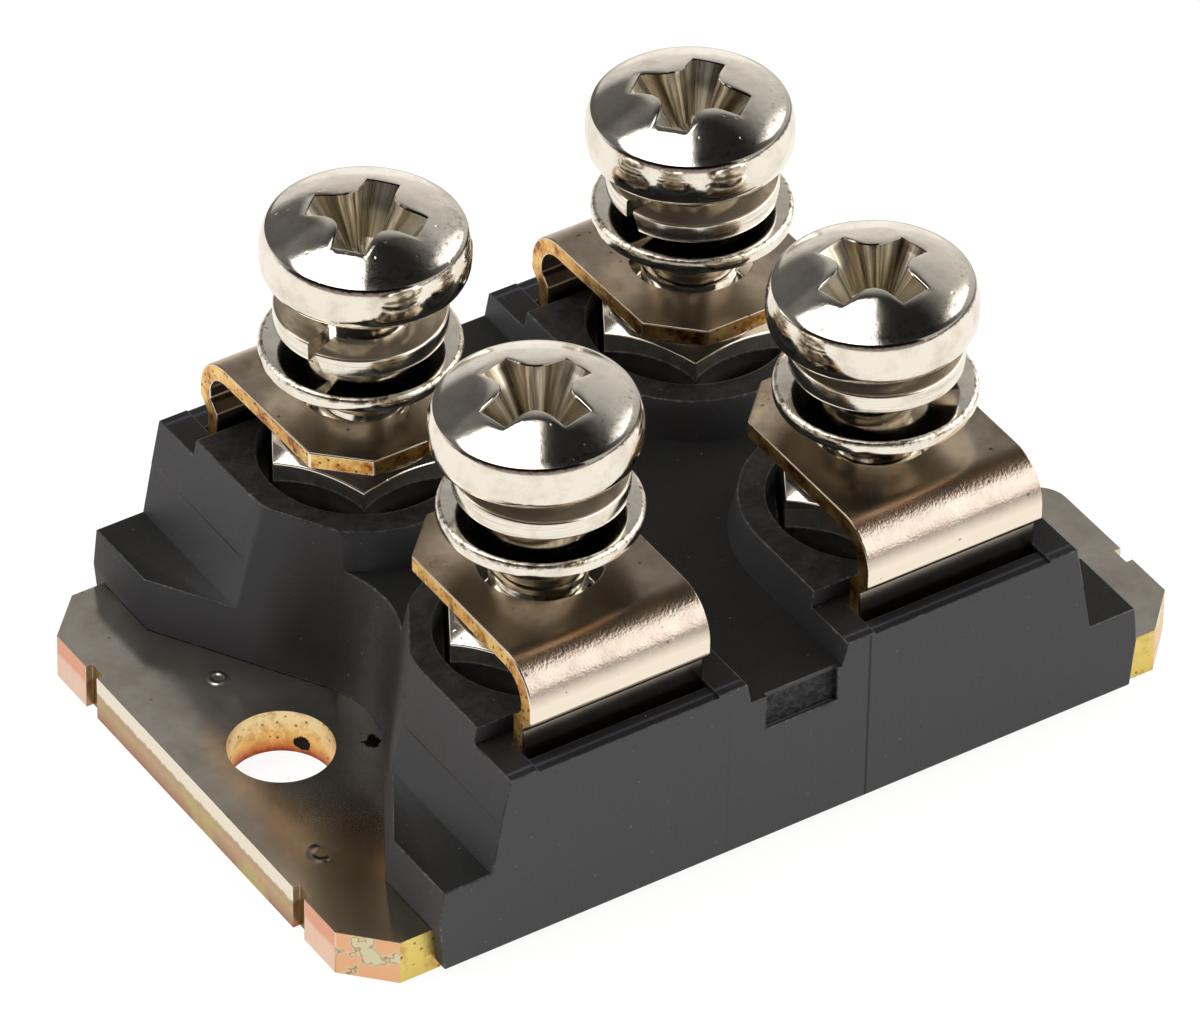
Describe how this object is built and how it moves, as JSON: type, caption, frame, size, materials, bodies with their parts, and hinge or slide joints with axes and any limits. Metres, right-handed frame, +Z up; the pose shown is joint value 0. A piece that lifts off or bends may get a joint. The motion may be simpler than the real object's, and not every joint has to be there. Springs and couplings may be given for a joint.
{
  "type": "diode module",
  "caption": "Isolated power diode module: moulded black block on a nickel plate with a fixing hole and an open slot, and bent screw terminals with captive nuts.",
  "frame": {"origin": "bottom centre of the base plate", "axes": "+X along the length, from the round fixing hole to the open slot; +Y from the front long side to the rear; +Z up from the base"},
  "size_m": [0.038, 0.0252, 0.0207],
  "materials": {
    "nickel_base": "satin nickel plate over copper, sheared edges bare",
    "epoxy": "black moulded epoxy, satin",
    "nickel_terminal": "nickel plate over copper, brushed",
    "nickel_fastener": "bright nickel plate over steel",
    "bare_copper": "bare copper",
    "ceramic": "white alumina",
    "silicon": "polished silicon",
    "solder": "soft solder"
  },
  "bodies": {
    "block": {"base_plate": "nickel_base", "housing": "epoxy", "substrate_backing": "bare_copper", "ceramic_substrate": "ceramic", "copper_tracks": "bare_copper", "diode_chip_left": "silicon", "solder_layer_left": "solder", "contact_clip_left": "bare_copper", "diode_chip_right": "silicon", "solder_layer_right": "solder", "contact_clip_right": "bare_copper", "terminal_front_left": "nickel_terminal", "nut_front_left": "nickel_fastener", "terminal_front_right": "nickel_terminal", "nut_front_right": "nickel_fastener", "terminal_rear_left": "nickel_terminal", "nut_rear_left": "nickel_fastener", "terminal_rear_right": "nickel_terminal", "nut_rear_right": "nickel_fastener"},
    "washers_front_left": {"spring_washer_front_left": "nickel_fastener", "flat_washer_front_left": "nickel_fastener"},
    "screw_front_left": {"screw_front_left": "nickel_fastener"},
    "washers_front_right": {"spring_washer_front_right": "nickel_fastener", "flat_washer_front_right": "nickel_fastener"},
    "screw_front_right": {"screw_front_right": "nickel_fastener"},
    "washers_rear_left": {"spring_washer_rear_left": "nickel_fastener", "flat_washer_rear_left": "nickel_fastener"},
    "screw_rear_left": {"screw_rear_left": "nickel_fastener"},
    "washers_rear_right": {"spring_washer_rear_right": "nickel_fastener", "flat_washer_rear_right": "nickel_fastener"},
    "screw_rear_right": {"screw_rear_right": "nickel_fastener"}
  },
  "joints": [
    {"name": "lift_front_left", "type": "slide", "parent": "block", "child": "washers_front_left", "axis": [0, 0, 1], "range_m": [-0.00221, 0.0008]},
    {"name": "turn_front_left", "type": "hinge", "parent": "washers_front_left", "child": "screw_front_left", "pos_m": [-0.00755, -0.00635, 0.0125], "axis": [0, 0, 1], "range_deg": [-1138, 412]},
    {"name": "lift_front_right", "type": "slide", "parent": "block", "child": "washers_front_right", "axis": [0, 0, 1], "range_m": [-0.00154, 0.0016]},
    {"name": "turn_front_right", "type": "hinge", "parent": "washers_front_right", "child": "screw_front_right", "pos_m": [0.00755, -0.00635, 0.0125], "axis": [0, 0, 1], "range_deg": [-793, 824]},
    {"name": "lift_rear_left", "type": "slide", "parent": "block", "child": "washers_rear_left", "axis": [0, 0, 1], "range_m": [-0.00146, 0.0008]},
    {"name": "turn_rear_left", "type": "hinge", "parent": "washers_rear_left", "child": "screw_rear_left", "pos_m": [-0.00755, 0.00635, 0.0125], "axis": [0, 0, 1], "range_deg": [-752, 412]},
    {"name": "lift_rear_right", "type": "slide", "parent": "block", "child": "washers_rear_right", "axis": [0, 0, 1], "range_m": [-0.00193, 0.00105]},
    {"name": "turn_rear_right", "type": "hinge", "parent": "washers_rear_right", "child": "screw_rear_right", "pos_m": [0.00755, 0.00635, 0.0125], "axis": [0, 0, 1], "range_deg": [-994, 541]}
  ],
  "couplings": [
    {"joint": "turn_front_left", "follows": "lift_front_left", "rad_per_m": 8976},
    {"joint": "turn_front_right", "follows": "lift_front_right", "rad_per_m": 8976},
    {"joint": "turn_rear_left", "follows": "lift_rear_left", "rad_per_m": 8976},
    {"joint": "turn_rear_right", "follows": "lift_rear_right", "rad_per_m": 8976}
  ]
}
